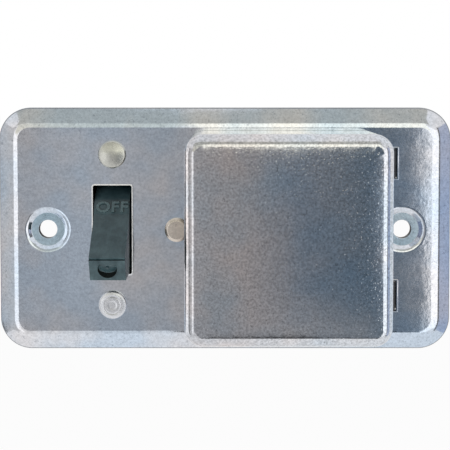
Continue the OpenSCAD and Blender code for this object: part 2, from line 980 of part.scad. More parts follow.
// Body of the fuse: a plug inside the shell and a cup-shaped head above the holder
module fuse_body() {
  color("#d8d4c8")
    on_wall()
      at_fuse()
        difference() {
          union() {
            post(plug_r, thread_base_h, fuse_seat_h);
            post(fuse_head_r - rim_t - fit_gap, fuse_seat_h, fuse_top_h - rim_t - fit_gap);
          }
          post(window_r + fit_gap, window_seat_h - cup_depth, fuse_top_h + cut);
        }
}

// Metal cap that holds the window down on the body
module fuse_rim() {
  low = fuse_top_h - rim_band;
  color("#c8a860")
    on_wall()
      at_fuse()
        difference() {
          post(fuse_head_r, low, fuse_top_h);
          post(fuse_head_r - rim_t, low - cut, fuse_top_h - rim_t);
          post(window_r - rim_lip, low - cut, fuse_top_h + cut);
        }
}

module fuse_window() {
  color("#cfe4ea")
    on_wall()
      at_fuse()
        post(window_r, window_seat_h, fuse_top_h - rim_t);
}

// Necked fusible strip seen through the window
module fuse_link() {
  link_t = 0.3;
  link_w = 4;
  neck = 1.4;
  end_gap = 1.5;
  low = window_seat_h - cup_depth;
  color("#c0c0b8")
    on_wall()
      at_fuse()
        difference() {
          slab(2 * (window_r - end_gap), link_w, low, low + link_t);
          for (s = [-1, 1])
            translate([0, s * link_w / 2, 0])
              post((link_w - neck) / 2, low - cut, low + link_t + cut);
        }
}

module fuse_insulator() {
  color("#3a3028")
    on_wall()
      at_fuse()
        difference() {
          post(chamber_r - insulator_inset, thread_base_h - insulator_t, thread_base_h);
          post(fuse_tip_r - tip_step, thread_base_h - insulator_t - cut, thread_base_h + cut);
        }
}

module fuse_tip() {
  seat = thread_base_h - insulator_t;
  color("#c0b49a")
    on_wall()
      at_fuse() {
        post(fuse_tip_r, tip_h, seat);
        post(fuse_tip_r - tip_step - running_gap, seat, thread_base_h);
      }
}

cover_plate();
lid_springs();
fuse_lid();
switch_barrier();
switch_case();
upper_rivet();
lower_rivet();
toggle_lever();
pivot_pin();
toggle_spring();
spring_plunger();
contact_rocker();
rocker_pin();
line_terminal();
load_terminal();
terminal_screws();
jumper_strap();
jumper_rivet();
holder_body();
holder_rivets();
screw_shell();
shell_terminal();
centre_contact();
centre_rivet();
fuse_shell();
fuse_body();
fuse_rim();
fuse_window();
fuse_link();
fuse_insulator();
fuse_tip();
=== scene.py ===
from math import atan2, cos, pi, radians, sin, tan

import bmesh
import bpy
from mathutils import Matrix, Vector


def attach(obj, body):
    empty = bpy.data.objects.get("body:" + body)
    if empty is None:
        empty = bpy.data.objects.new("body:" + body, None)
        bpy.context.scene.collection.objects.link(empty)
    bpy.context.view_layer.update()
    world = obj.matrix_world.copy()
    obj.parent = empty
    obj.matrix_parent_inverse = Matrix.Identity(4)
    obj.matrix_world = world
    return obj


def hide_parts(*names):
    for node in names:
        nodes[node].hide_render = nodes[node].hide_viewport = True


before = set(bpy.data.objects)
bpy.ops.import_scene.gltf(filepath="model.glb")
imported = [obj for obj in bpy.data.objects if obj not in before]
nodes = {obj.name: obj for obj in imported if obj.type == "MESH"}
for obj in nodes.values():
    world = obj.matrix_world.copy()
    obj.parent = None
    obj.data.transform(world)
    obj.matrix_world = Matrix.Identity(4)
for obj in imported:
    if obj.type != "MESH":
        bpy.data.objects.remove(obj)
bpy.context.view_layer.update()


# Cover plate: 1 mm mild steel, blanked and drawn, with a sloped rim that seats on the edge of the box.
# The screw dimples are pressed down to the same plane and the openings are pierced. The whole is zinc
# plated, with a blue passivation that clouds the face and pools in the dimples.
plate_w, plate_d, plate_t = 106.4, 57.2, 1.0
plate_corner_r, rim_w, rim_slope, bend_r, bend_steps = 7.5, 4.75, radians(22), 6.0, 8
face_h = 2.3401
back_h = face_h - plate_t
screw_x, screw_hole_r = 41.67, 2.15
dimple_floor_r, dimple_lip_r, dimple_seam_r, dimple_floor_h = 3.9, 4.97, 5.65, 1.5
floor_rise, foot_spread, back_spread = 0.06, 0.5, 0.45
switch_x, slot_w, slot_d, slot_corner_r = -26.4, 9.1, 20.9, 0.5
bead_h, bead_margin, bead_corner_r = 0.28, 0.35, 0.8
fuse_x, opening_r = 14.2, 16.5
ear_z, ear_w = 15.6, 7.0
ear_slot_x, ear_slot_w, ear_slot_play = 39.45, 1.7, 0.16
burr_x, burr_w, burr_h, burr_margin, burr_corner_r = 39.55, 2.4, 0.16, 0.4, 0.3
rim_edge_round, burr_round, cut_round = 0.3, 0.15, 0.14
through, to_metres = 12, 0.001


def alone(piece=None):
    """Leaves edit mode and selects one piece, or nothing."""
    if bpy.context.object and bpy.context.object.mode != "OBJECT":
        bpy.ops.object.mode_set(mode="OBJECT")
    bpy.ops.object.select_all(action="DESELECT")
    if piece:
        piece.select_set(True)
        bpy.context.view_layer.objects.active = piece
    return piece


def edit(piece):
    """Opens one piece in edit mode with nothing selected."""
    alone(piece)
    bpy.ops.object.mode_set(mode="EDIT")
    bpy.ops.mesh.select_all(action="DESELECT")


def pick(kind, test):
    """Selects the faces, edges or verts of the piece in edit mode that pass the test."""
    bpy.ops.mesh.select_mode(type={"faces": "FACE", "edges": "EDGE", "verts": "VERT"}[kind])
    bpy.ops.mesh.select_all(action="DESELECT")
    mesh = bmesh.from_edit_mesh(bpy.context.object.data)
    for item in getattr(mesh, kind):
        if test(item):
            item.select_set(True)
    mesh.select_flush_mode()
    bmesh.update_edit_mesh(bpy.context.object.data)


def modify(piece, kind, **settings):
    """Puts a modifier on a piece and applies it at once."""
    alone(piece)
    step = piece.modifiers.new(kind.title(), kind)
    for key, value in settings.items():
        setattr(step, key, value)
    bpy.ops.object.modifier_apply(modifier=step.name)


def combine(piece, tool, how="DIFFERENCE"):
    """Cuts a tool out of a piece, or welds it on, and uses the tool up."""
    modify(piece, "BOOLEAN", operation=how, object=tool, solver="EXACT")
    bpy.data.objects.remove(tool)


def settle():
    """Makes the active object's place, turn and size part of its mesh."""
    bpy.ops.object.transform_apply(location=True, rotation=True, scale=True)


def block(size, at, corner_r=0, steps=5):
    """A blank of w x d x h in mm, its upright corners rounded."""
    alone()
    bpy.ops.mesh.primitive_cube_add(size=1, location=at)
    piece = bpy.context.object
    piece.scale = size
    settle()
    if corner_r:
        edit(piece)
        pick("edges", lambda e: abs(e.verts[0].co.z - e.verts[1].co.z) > 0.9 * size[2])
        bpy.ops.mesh.bevel(offset=corner_r, segments=steps, affect="EDGES")
        alone(piece)
    return piece


def eased(points, radii, steps=5):
    """A line of (radius, height) points with its corners rounded by the radii given."""
    line = []
    for i, (point, radius) in enumerate(zip(points, radii)):
        here = Vector(point)
        if not radius:
            line.append(tuple(here))
            continue
        back = (Vector(points[i - 1]) - here).normalized()
        ahead = (Vector(points[i + 1]) - here).normalized()
        half = back.angle(ahead) / 2
        centre = here + (back + ahead).normalized() * radius / sin(half)
        first = here + back * radius / tan(half) - centre
        last = here + ahead * radius / tan(half) - centre
        start = atan2(first.y, first.x)
        sweep = (atan2(last.y, last.x) - start + pi) % (2 * pi) - pi
        for k in range(steps + 1):
            turn = start + sweep * k / steps
            line.append((centre.x + radius * cos(turn), centre.y + radius * sin(turn)))
    return line


def turned(line, at=(0, 0), steps=64):
    """A turned form: its half section in mm is drawn point by point, then spun about the upright."""
    alone()
    bpy.ops.mesh.primitive_plane_add(size=1)
    piece = bpy.context.object
    bpy.ops.object.mode_set(mode="EDIT")
    bpy.ops.mesh.select_mode(type="VERT")
    bpy.ops.mesh.select_all(action="SELECT")
    bpy.ops.mesh.merge(type="CENTER")
    bpy.ops.transform.translate(value=(line[0][0], 0, line[0][1]))
    for (r, h), (next_r, next_h) in zip(line, line[1:]):
        bpy.ops.mesh.extrude_region_move(TRANSFORM_OT_translate={"value": (next_r - r, 0, next_h - h)})
    bpy.ops.mesh.select_all(action="SELECT")
    bpy.ops.mesh.spin(steps=steps, angle=2 * pi, center=(0, 0, 0), axis=(0, 0, 1))
    bpy.ops.mesh.select_all(action="SELECT")
    bpy.ops.mesh.remove_doubles(threshold=0.0005)
    bpy.ops.mesh.normals_make_consistent(inside=False)
    alone(piece)
    piece.location = (at[0], at[1], 0)
    settle()
    return piece


def drill(radius, at, steps=64):
    """A round cutter that goes right through the plate."""
    return turned([(0, -through), (radius, -through), (radius, through), (0, through)], at, steps)


def round_edges(piece, width, angle=35, steps=2):
    """Breaks every edge that is sharper than an angle in degrees."""
    modify(piece, "BEVEL", width=width, segments=steps, limit_method="ANGLE", angle_limit=radians(angle),
           use_clamp_overlap=True, harden_normals=False)


def joined(pieces):
    alone(pieces[0])
    for piece in pieces[1:]:
        piece.select_set(True)
    bpy.ops.object.join()
    return pieces[0]


def even_shade(piece, smooth):
    """Smooth bends, with the large flats kept truly flat."""
    alone(piece)
    bpy.ops.object.shade_smooth_by_angle(angle=radians(smooth))
    modify(piece, "WEIGHTED_NORMAL", weight=80, keep_sharp=True)


def hang(piece, smooth=32):
    """Takes a piece from the bench, in mm, to its place on the wall, in metres."""
    alone(piece)
    piece.scale = (to_metres, to_metres, to_metres)
    piece.rotation_euler = (pi / 2, 0, 0)
    settle()
    even_shade(piece, smooth)
    return piece


def dress(piece, name, finish, body, slot, *stands_for):
    """Names a piece, coats it, and says what it rides on and the nodes it stands for; the slot argument is
    not used.
    """
    piece.name = name
    piece.data.name = name
    piece.data.materials.clear()
    piece.data.materials.append(finish)
    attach(piece, body)
    if stands_for:
        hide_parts(*stands_for)


def paint(piece, finish, test):
    """Adds a finish on the faces whose normal and middle pass the test."""
    piece.data.materials.append(finish)
    edit(piece)
    pick("faces", lambda f: test(f.normal, f.calc_center_median()))
    piece.active_material_index = len(piece.data.materials) - 1
    bpy.ops.object.material_slot_assign()
    alone(piece)


def new_finish(name):
    """A fresh material, with its node tree and its shader."""
    finish = bpy.data.materials.new(name)
    finish.use_nodes = True
    tree = finish.node_tree
    return finish, tree, tree.nodes["Principled BSDF"]


def grey(level):
    return (level, level, level)


def noise(tree, size, detail=3, rough=0.55, stretch=(1, 1, 1), seed=0.0):
    """Noise on the piece's own coordinates; size is the width of one cloud in metres."""
    place = tree.nodes.new("ShaderNodeTexCoord")
    fit = tree.nodes.new("ShaderNodeMapping")
    fit.inputs["Scale"].default_value = stretch
    fit.inputs["Location"].default_value = (seed, 0.37 * seed, 0.71 * seed)
    cloud = tree.nodes.new("ShaderNodeTexNoise")
    cloud.inputs["Scale"].default_value = 1 / size
    cloud.inputs["Detail"].default_value = detail
    cloud.inputs["Roughness"].default_value = rough
    tree.links.new(place.outputs["Object"], fit.inputs["Vector"])
    tree.links.new(fit.outputs["Vector"], cloud.inputs["Vector"])
    return cloud.outputs["Fac"]


def along(tree, axis):
    """The place along an axis of the piece, in metres."""
    place = tree.nodes.new("ShaderNodeTexCoord")
    split = tree.nodes.new("ShaderNodeSeparateXYZ")
    tree.links.new(place.outputs["Object"], split.inputs["Vector"])
    return split.outputs[axis]


def span(tree, value, start, end):
    """Runs from 0 at the start to 1 at the end, and stays level beyond them."""
    node = tree.nodes.new("ShaderNodeMapRange")
    node.inputs["From Min"].default_value = start
    node.inputs["From Max"].default_value = end
    tree.links.new(value, node.inputs["Value"])
    return node.outputs["Result"]


def maths(tree, how, *values):
    node = tree.nodes.new("ShaderNodeMath")
    node.operation = how
    for socket, value in zip(node.inputs, values):
        tree.links.new(value, socket)
    return node.outputs[0]


def ramp(tree, value, stops):
    """Colours a value by (place, colour) stops."""
    node = tree.nodes.new("ShaderNodeValToRGB")
    while len(node.color_ramp.elements) < len(stops):
        node.color_ramp.elements.new(0.5)
    for element, (at, colour) in zip(node.color_ramp.elements, stops):
        element.position = at
        element.color = (*colour, 1)
    tree.links.new(value, node.inputs["Fac"])
    return node.outputs["Color"]


def blend_colour(tree, how, amount, first, second):
    node = tree.nodes.new("ShaderNodeMix")
    node.data_type = "RGBA"
    node.blend_type = how
    if isinstance(amount, float):
        node.inputs["Factor"].default_value = amount
    else:
        tree.links.new(amount, node.inputs["Factor"])
    tree.links.new(first, node.inputs["A"])
    tree.links.new(second, node.inputs["B"])
    return node.outputs["Result"]


def bumps(tree, value, depth, under=None):
    """Relief of a depth in metres, on top of any relief under it."""
    node = tree.nodes.new("ShaderNodeBump")
    node.inputs["Strength"].default_value = 1.0
    node.inputs["Distance"].default_value = depth
    tree.links.new(value, node.inputs["Height"])
    if under:
        tree.links.new(under, node.inputs["Normal"])
    return node.outputs["Normal"]


def shaded(tree, axis, dark_at, clear_at, shade):
    """A tint that clears from a shade to white between two places along an axis of the piece, in metres."""
    return ramp(tree, span(tree, along(tree, axis), dark_at, clear_at), [(0, shade), (1, grey(1))])


def zinc(name, cold, warm, dark_specks, rough, seed, worn_beyond=None, shades=(), pits=0):
    """Bright zinc plate: clouds of tint, dark grain and specks, drawn scuffs and a slight orange-peel.

    It can also have wear beyond a half width and half height, shades along an axis, and pits of some depth.
    """
    cloud_size, scuff_size, grain_size, speck_size = 0.02, 0.0011, 0.00055, 0.00045
    rub_size, rub_before, rub_after = 0.0008, 0.0025, 0.0005
    sheen_size, peel_size, peel_depth, wave_size, wave_depth = 0.004, 0.0014, 0.000008, 0.012, 0.000035
    finish, tree, shader = new_finish(name)
    shader.inputs["Metallic"].default_value = 1.0
    clouds = ramp(tree, noise(tree, cloud_size, 3, 0.5, seed=seed), [(0.4, cold), (0.6, warm)])
    grain = ramp(tree, noise(tree, grain_size, 2, 0.6, seed=seed + 1),
                 [(0.36, grey(1 - 2 * dark_specks)), (0.62, grey(1))])
    specks = ramp(tree, noise(tree, speck_size, 1, 0.5, seed=seed + 2),
                  [(0.26, grey(1 - 2.5 * dark_specks)), (0.36, grey(1))])
    scuffs = ramp(tree, noise(tree, scuff_size, 4, 0.7, (0.35, 1, 1), seed + 3),
                  [(0.34, grey(0.84)), (0.6, grey(1))])
    colour = blend_colour(tree, "MULTIPLY", 1.0, clouds, grain)
    colour = blend_colour(tree, "MULTIPLY", 1.0, colour, specks)
    colour = blend_colour(tree, "MULTIPLY", 0.6, colour, scuffs)
    if worn_beyond:
        reach = [span(tree, maths(tree, "ABSOLUTE", along(tree, axis)), limit - rub_before, limit + rub_after)
                 for axis, limit in zip("XZ", worn_beyond)]
        rubbed = ramp(tree, noise(tree, rub_size, 4, 0.8, seed=seed + 7),
                      [(0.3, (0.55, 0.57, 0.6)), (0.42, grey(1))])
        colour = blend_colour(tree, "MULTIPLY", maths(tree, "MAXIMUM", *reach), colour, rubbed)
    for shade in shades:
        colour = blend_colour(tree, "MULTIPLY", 1.0, colour, shaded(tree, *shade))
    tree.links.new(colour, shader.inputs["Base Color"])
    sheen = ramp(tree, noise(tree, sheen_size, 5, 0.65, seed=seed + 4),
                 [(0.3, grey(rough * 0.8)), (0.72, grey(rough * 1.35))])
    tree.links.new(sheen, shader.inputs["Roughness"])
    relief = bumps(tree, noise(tree, peel_size, 3, 0.6, seed=seed + 5), peel_depth)
    if pits:
        pocks = ramp(tree, noise(tree, speck_size, 1, 0.5, seed=seed + 8), [(0.64, grey(1)), (0.78, grey(0))])
        relief = bumps(tree, pocks, pits, relief)
    relief = bumps(tree, noise(tree, wave_size, 2, 0.5, seed=seed + 6), wave_depth, relief)
    tree.links.new(relief, shader.inputs["Normal"])
    return finish


def painted_shade_steel(name, low, high, rough):
    """Bare sheared steel, darker than the plating, with its colour painted nearly black as the shade inside
    an opening.
    """
    finish, tree, shader = new_finish(name)
    shader.inputs["Metallic"].default_value = 1.0
    shader.inputs["Roughness"].default_value = rough
    tone = ramp(tree, noise(tree, 0.0006, 3, seed=1.9), [(0.3, grey(low)), (0.7, grey(high))])
    tree.links.new(tone, shader.inputs["Base Color"])
    return finish


bend_run = bend_r * sin(rim_slope)
rim_run = rim_w - bend_run
rim_fall = rim_run * tan(rim_slope)
edge_h = face_h - bend_r * (1 - cos(rim_slope)) - rim_fall
alone()
bpy.ops.mesh.primitive_plane_add(size=1, location=(0, 0, edge_h))
plate = bpy.context.object
plate.scale = (plate_w, plate_d, 1)
settle()
bpy.ops.object.mode_set(mode="EDIT")
bpy.ops.mesh.select_all(action="SELECT")
bpy.ops.mesh.bevel(offset=plate_corner_r, segments=20, affect="VERTICES")
bpy.ops.mesh.inset(thickness=rim_run, depth=rim_fall)
for i in range(bend_steps):
    here, after = (rim_slope * (1 - k / bend_steps) for k in (i, i + 1))
    bpy.ops.mesh.inset(thickness=bend_r * (sin(here) - sin(after)), depth=bend_r * (cos(after) - cos(here)))
pick("edges", lambda e: e.is_boundary)
bpy.ops.mesh.extrude_region_move(TRANSFORM_OT_translate={"value": (0, 0, -edge_h)})
pick("edges", lambda e: not e.is_boundary and all(abs(v.co.z - edge_h) < 0.001 for v in e.verts))
bpy.ops.mesh.bevel(offset=rim_edge_round, segments=3, affect="EDGES")
modify(plate, "SOLIDIFY", thickness=plate_t, offset=-1, use_even_offset=True)
edit(plate)
bpy.ops.mesh.select_all(action="SELECT")
bpy.ops.mesh.remove_doubles(threshold=0.02)
alone(plate)
bead = block((slot_w + 2 * bead_margin, slot_d + 2 * bead_margin, plate_t),
             (switch_x, 0, face_h + bead_h - plate_t / 2), bead_corner_r)
round_edges(bead, bead_h, 60, 4)
combine(plate, bead, "UNION")
combine(plate, block((slot_w, slot_d, through), (switch_x, 0, 0), slot_corner_r))
combine(plate, drill(opening_r, (fuse_x, 0), 96))
for side in (-1, 1):
    burr = block((burr_w, ear_w + 2 * burr_margin, plate_t),
                 (burr_x, side * ear_z, face_h + burr_h - plate_t / 2), burr_corner_r)
    round_edges(burr, burr_round, 60, 3)
    combine(plate, burr, "UNION")
    combine(plate, block((ear_slot_w, ear_w + ear_slot_play, through), (ear_slot_x, side * ear_z, 0)))
for side in (-1, 1):
    at = (side * screw_x, 0)
    combine(plate, drill(dimple_seam_r, at))
    edit(plate)
    pick("faces", lambda f: all(abs((v.co.xy - Vector(at)).length - dimple_seam_r) < 0.01 for v in f.verts))
    bpy.ops.mesh.delete(type="FACE")
dimple_points = [(dimple_seam_r, face_h), (dimple_lip_r, face_h), (dimple_floor_r, dimple_floor_h),
                 (screw_hole_r, dimple_floor_h + floor_rise), (screw_hole_r, 0),
                 (dimple_floor_r + foot_spread, 0), (dimple_lip_r + back_spread, back_h),
                 (dimple_seam_r, back_h)]
dimple_line = eased(dimple_points, (0, 1.7, 0.25, 0.15, 0.15, 0.4, 0.2, 0), 8)
plate = joined([plate] + [turned(dimple_line, (side * screw_x, 0)) for side in (-1, 1)])
edit(plate)
bpy.ops.mesh.select_all(action="SELECT")
bpy.ops.mesh.remove_doubles(threshold=0.004)
pick("edges", lambda e: e.is_boundary)
bpy.ops.mesh.fill_holes(sides=4)
bpy.ops.mesh.select_all(action="SELECT")
bpy.ops.mesh.normals_make_consistent(inside=False)
round_edges(plate, cut_round, 60)
zinc_plate = zinc("zinc_plate", (0.61, 0.7, 0.81), (0.77, 0.765, 0.79),
                  dark_specks=0.08, rough=0.08, seed=0.3, worn_beyond=(0.0485, 0.0235))
dress(hang(plate), "drawn_plate", zinc_plate, "cover", "zinc_plate", "cover_plate")
# Other finishes go by place on the hung plate, in metres.
cuts_x, cuts_z = 0.0452, 0.02
# Painted shade: the cut walls of the openings and slots are coloured nearly black.
painted_shade_cut_edge = painted_shade_steel("painted_shade_cut_edge", low=0.015, high=0.04, rough=0.5)
paint(plate, painted_shade_cut_edge, lambda normal, spot:
      abs(normal.y) < 0.3 and abs(spot.x) < cuts_x and abs(spot.z) < cuts_z)
# The raised bead round the switch slot has a paler, rougher zinc.
bead_foot, bead_reach = (face_h + 0.03) * to_metres, 0.0056
pale_slot_bead = zinc("pale_slot_bead", (0.84, 0.87, 0.9), grey(0.9), dark_specks=0.03, rough=0.45, seed=5.2)
paint(plate, pale_slot_bead, lambda normal, spot:
      normal.y < -0.2 and spot.y < -bead_foot and abs(spot.x - switch_x * to_metres) < bead_reach)
# The outer edge of the plate, where its faces turn away from the front, is a darker zinc.
rim_x, rim_z = 0.05, 0.0252
dark_outer_edge = zinc("dark_outer_edge", (0.27, 0.29, 0.32), (0.34, 0.35, 0.37),
                 dark_specks=0.08, rough=0.35, seed=6.6)
paint(plate, dark_outer_edge, lambda normal, spot:
      abs(normal.y) < 0.87 and (abs(spot.x) > rim_x or abs(spot.z) > rim_z))
pool_top = 0.0019
pooled_blue = zinc("pooled_blue", (0.4, 0.55, 0.66), (0.5, 0.6, 0.67),
                   dark_specks=0.1, rough=0.28, seed=3.7)
paint(plate, pooled_blue, lambda normal, spot:
      normal.y < -0.9 and spot.y > -pool_top
      and Vector((abs(spot.x) - screw_x * to_metres, spot.z)).length < dimple_floor_r * to_metres)


# Switch fibre and case: a sheet of vulcanised fibre under the plate, and a black phenolic case moulded in
# one with the ears that the two rivets hold. The moulding has small radii and a fine flow marble.
def moulding(name, dark, pale, rough, cloud_size=0.006, painted_shade=None):
    """Black phenolic with a flow marble, and an optional painted shade that darkens it along an axis, as low
    in the slot on the lever.
    """
    dust_size, sheen_size, grain_size, grain_depth = 0.0007, 0.003, 0.0006, 0.000012
    finish, tree, shader = new_finish(name)
    flow = ramp(tree, noise(tree, cloud_size, 5, 0.65, (1, 1, 0.5), 2.1), [(0.3, dark), (0.75, pale)])
    dust = ramp(tree, noise(tree, dust_size, 3, 0.6, seed=4.4), [(0.62, grey(1)), (0.78, grey(1.5))])
    colour = blend_colour(tree, "MULTIPLY", 1.0, flow, dust)
    if painted_shade:
        colour = blend_colour(tree, "MULTIPLY", 1.0, colour, shaded(tree, *painted_shade))
    tree.links.new(colour, shader.inputs["Base Color"])
    sheen = ramp(tree, noise(tree, sheen_size, 4, seed=6.1),
                 [(0.3, grey(rough * 0.85)), (0.7, grey(rough * 1.2))])
    tree.links.new(sheen, shader.inputs["Roughness"])
    tree.links.new(bumps(tree, noise(tree, grain_size, 3, seed=8.2), grain_depth), shader.inputs["Normal"])
    return finish


def sheet_fibre(name, dark, pale):
    """Vulcanised fibre: matt, with long hairs pressed into the sheet."""
    hair_size, hair_depth = 0.0012, 0.00003
    finish, tree, shader = new_finish(name)
    shader.inputs["Roughness"].default_value = 0.62
    hair = noise(tree, hair_size, 5, 0.7, (0.18, 1, 1), 5.5)
    tree.links.new(ramp(tree, hair, [(0.3, dark), (0.7, pale)]), shader.inputs["Base Color"])
    tree.links.new(bumps(tree, hair, hair_depth), shader.inputs["Normal"])
    return finish


def refined(node, width, angle=35, steps=2, smooth=35):
    """A merged copy of a node's form, its flats cleaned up and its edges broken by a small radius."""
    piece = nodes[node].copy()
    piece.data = nodes[node].data.copy()
    bpy.context.scene.collection.objects.link(piece)
    for key in list(piece.keys()):
        del piece[key]
    piece.parent = None
    alone(piece)
    if piece.data.has_custom_normals:
        bpy.ops.mesh.customdata_custom_splitnormals_clear()
    edit(piece)
    bpy.ops.mesh.select_all(action="SELECT")
    bpy.ops.mesh.remove_doubles(threshold=0.000002)
    bpy.ops.mesh.dissolve_limited(angle_limit=radians(1))
    alone(piece)
    if width:
        round_edges(piece, width * to_metres, angle, steps)
    even_shade(piece, smooth)
    return piece


phenolic = moulding("black_phenolic", grey(0.012), (0.022, 0.021, 0.02), rough=0.38)
fibre = sheet_fibre("vulcanised_fibre", (0.055, 0.04, 0.028), (0.1, 0.075, 0.052))
dress(refined("switch_barrier", 0.1), "fibre_barrier", fibre, "cover", "fibre", "switch_barrier")
dress(refined("switch_case", 0.35), "moulded_case", phenolic, "cover", "black_phenolic", "switch_case")


# Toggle lever: black phenolic, a drum that turns on a steel pin with a wedge-shaped nose to push, a thumb
# nick with a pip in its end, and OFF and ON raised on the drum where the slot shows them.
drum_r, drum_w, drum_x = 10.4, 8.2, -0.12
nose_len, nose_end, nose_w, nose_root_w, nose_taper = 19.1, 5.7, 8.1, 8.28, radians(20.9)
lever_tilt, pivot_h, pin_r = radians(23), -6.0599, 1.25
bore_r, bore_top = 1.75, -4.0
nick_lean, nick_r, nick_mouth_r, nick_round, nick_y, nick_sink = radians(23), 2.15, 2.25, 0.35, 0.35, 0.5
pip_r, pip_root_r, pip_round, pip_h, pip_slope = 0.34, 0.42, 0.12, 1.1, 0.05
groove_w, groove_inset, lever_round = 0.5, 0.14, 0.3
letter_turn, letter_h, letter_stretch, letter_spacing = radians(53.5), 2.55, 1.14, 1.06
letter_raise, letter_round, letter_sink, size_per_height = 0.26, 0.13, 0.02, 1.42


def in_lever(piece):
    """Leans a piece made about the lever's pin, nose upright, to the OFF position in the plate."""
    alone(piece)
    piece.rotation_euler = (lever_tilt, 0, 0)
    piece.location = (switch_x, 0, pivot_h)
    settle()
    return piece


def lettering(word, turn):
    """A raised word on the drum, its middle at an angle from the nose."""
    alone()
    bpy.ops.object.text_add()
    piece = bpy.context.object
    piece.data.body = word
    piece.data.align_x = "CENTER"
    piece.data.align_y = "CENTER"
    piece.data.size = letter_h * size_per_height
    piece.data.extrude = letter_raise
    piece.data.bevel_depth = letter_round
    piece.data.bevel_resolution = 2
    piece.data.space_character = letter_spacing
    bpy.ops.object.convert(target="MESH")
    edit(piece)
    bpy.ops.mesh.select_all(action="SELECT")
    bpy.ops.mesh.remove_doubles(threshold=0.004)
    alone(piece)
    piece.scale = (letter_stretch, 1, 1)
    piece.rotation_euler = (-turn, 0, 0)
    reach = drum_r - letter_sink
    piece.location = (0, reach * sin(turn), reach * cos(turn))
    settle()
    return piece


nose_foot = nose_len * sin(nose_taper) + nose_end / 2 * cos(nose_taper)
foot_h, foot_d = nose_foot * sin(nose_taper), 2 * nose_foot * cos(nose_taper)
alone()
bpy.ops.mesh.primitive_cylinder_add(radius=drum_r, depth=drum_w, vertices=128, location=(drum_x, 0, 0),
                                    rotation=(0, pi / 2, 0))
lever = bpy.context.object
settle()
nose = block((nose_root_w, foot_d, nose_len - foot_h), (0, 0, (nose_len + foot_h) / 2))
edit(nose)
pick("faces", lambda f: f.normal.z > 0.9)
bpy.ops.transform.resize(value=(nose_w / nose_root_w, nose_end / foot_d, 1))
combine(lever, nose, "UNION")
mouth_h = nose_len + 3
nick_section = [(0, nose_len), (nick_r, nose_len), (nick_mouth_r, mouth_h), (0, mouth_h)]
thumb = turned(eased(nick_section, (0, nick_round, 0, 0)), steps=48)
alone(thumb)
thumb.rotation_euler = (nick_lean, 0, 0)
thumb.location = (0, nose_len * sin(nick_lean) + nick_y, nose_len * (1 - cos(nick_lean)) - nick_sink)
settle()
combine(lever, thumb)
alone()
bpy.ops.mesh.primitive_cylinder_add(radius=pin_r, depth=2 * drum_w, vertices=48, rotation=(0, pi / 2, 0))
combine(lever, bpy.context.object)
bore_end = -drum_r - 1
combine(lever, turned([(0, bore_top), (bore_r, bore_top), (bore_r, bore_end), (0, bore_end)], steps=48))
round_edges(lever, lever_round, 28, 3)
combine(lever, block((nose_w + 1, groove_w, groove_w),
                     (0, nose_end / 2 - groove_inset, nose_len - groove_inset)))
pip_section = [(0, nose_len - pip_slope), (pip_r, nose_len - 2 * pip_slope),
               (pip_root_r, nose_len - pip_h), (0, nose_len - pip_h - 2 * pip_slope)]
lever = joined([lever, turned(eased(pip_section, (0, pip_round, 0, 0), 2), (0, nick_y), 16)])
# Painted shade: the lever is darkened close to the plate, low in the slot, where the slot shades it.
painted_slot_shade = ("Y", -0.0005, -0.0075, grey(0.65))
lever_black = moulding("toggle_black", (0.004, 0.016, 0.021), (0.039, 0.068, 0.076), rough=0.32,
                       cloud_size=0.003, painted_shade=painted_slot_shade)
dress(hang(in_lever(lever)), "moulded_lever", lever_black, "toggle", "toggle_black", "toggle_lever")
# Painted shade: the walls of the thumb nick are coloured near black with little shine, where the recess is in
# shadow.
nick_painted_shade = moulding("nick_painted_shade", (0.002, 0.003, 0.003), (0.006, 0.008, 0.008), rough=0.7)
nick_painted_shade.node_tree.nodes["Principled BSDF"].inputs["Specular IOR Level"].default_value = 0.1
nose_tip = Vector((switch_x, -pivot_h - nose_len * cos(lever_tilt), -nose_len * sin(lever_tilt))) * to_metres
nose_way = Vector((0, -cos(lever_tilt), -sin(lever_tilt)))
nick_way = Vector((0, -cos(lever_tilt + nick_lean), -sin(lever_tilt + nick_lean)))
shade_from, shade_to, shade_below = 0.0012, 0.0026, 0.00004
paint(lever, nick_painted_shade, lambda normal, spot:
      shade_from < (spot - nose_tip).length < shade_to and normal.dot(nick_way) < 0.6
      and (spot - nose_tip).dot(nose_way) < -shade_below)
letter_black = moulding("letter_black", (0.018, 0.034, 0.038), (0.05, 0.078, 0.084), rough=0.26,
                        cloud_size=0.003)
dress(hang(in_lever(lettering("OFF", letter_turn))), "word_off", letter_black, "toggle", "toggle_black")
dress(hang(in_lever(lettering("ON", -letter_turn))), "word_on", letter_black, "toggle", "toggle_black")


# Switch works: steel pins, a wire spring and brass plunger in the lever, the brass contact rocker that it
# throws, and stamped brass terminals with brass binding screws along the back of the case.
def metal(name, low, high, rough):
    """Plain rolled or turned metal with soft clouds of tone and fine lines along its length."""
    cloud_size, line_size, sheen_size, grain_size, grain_depth = 0.006, 0.0008, 0.002, 0.0009, 0.000006
    finish, tree, shader = new_finish(name)
    shader.inputs["Metallic"].default_value = 1.0
    clouds = ramp(tree, noise(tree, cloud_size, 4, 0.6, seed=1.7), [(0.3, low), (0.7, high)])
    lines = ramp(tree, noise(tree, line_size, 3, 0.6, (1, 0.12, 1), 3.3), [(0.3, grey(0.9)), (0.65, grey(1))])
    tree.links.new(blend_colour(tree, "MULTIPLY", 1.0, clouds, lines), shader.inputs["Base Color"])
    sheen = ramp(tree, noise(tree, sheen_size, 4, seed=5.9),
                 [(0.3, grey(rough * 0.75)), (0.7, grey(rough * 1.3))])
    tree.links.new(sheen, shader.inputs["Roughness"])
    tree.links.new(bumps(tree, noise(tree, grain_size, 3, seed=7.7), grain_depth), shader.inputs["Normal"])
    return finish


